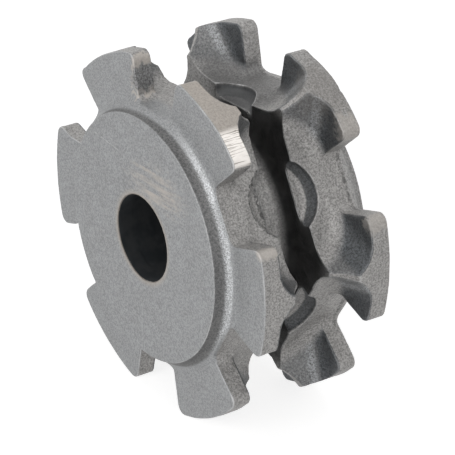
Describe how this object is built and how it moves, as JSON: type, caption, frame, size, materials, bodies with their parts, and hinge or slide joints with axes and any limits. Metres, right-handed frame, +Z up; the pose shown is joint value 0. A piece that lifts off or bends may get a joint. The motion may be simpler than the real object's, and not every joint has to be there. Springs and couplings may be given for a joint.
{
  "type": "chain sprocket",
  "caption": "Cast pocket wheel for round-link chain: toothed flanges either side of a deep groove, raised round hubs and a plain bore.",
  "frame": {"origin": "centre of the wheel, on the bore axis, midway between the hub faces", "axes": "+Y along the bore axis towards the rear hub face, +Z up through the middle of a link pocket, +X to the right, seen from the front hub face"},
  "size_m": [0.1288, 0.0606, 0.1246],
  "materials": {
    "cast_body": "as cast and shot-blasted, dull grey"
  },
  "bodies": {
    "root": {"chain_sprocket": "cast_body"}
  },
  "joints": []
}
